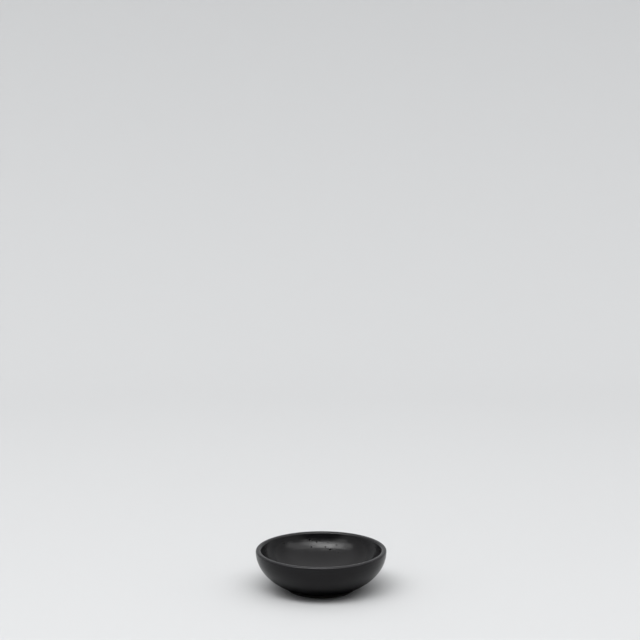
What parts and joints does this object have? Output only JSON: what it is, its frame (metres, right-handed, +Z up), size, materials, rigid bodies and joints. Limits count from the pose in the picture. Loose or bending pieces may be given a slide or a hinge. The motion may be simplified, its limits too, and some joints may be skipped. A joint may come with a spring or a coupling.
{
  "type": "ramekin",
  "caption": "Small shallow round ramekin in black satin-glazed stoneware, with a rounded lip, a curved well for sauce or one portion, and a turned foot ring.",
  "frame": {"origin": "on the bowl's axis, at the level that the foot ring stands on", "axes": "+Z up out of the well along the axis of revolution; +X and +Y across the bowl, which is round, so neither is special"},
  "size_m": [0.09, 0.09, 0.0284],
  "materials": {
    "clay": "bare fired black stoneware, turned on the foot ring, matt",
    "glaze": "black satin glaze with a few pinholes"
  },
  "bodies": {
    "root": {"stoneware_body": "clay", "glaze_coat": "glaze", "base_glaze": "glaze"}
  },
  "joints": []
}
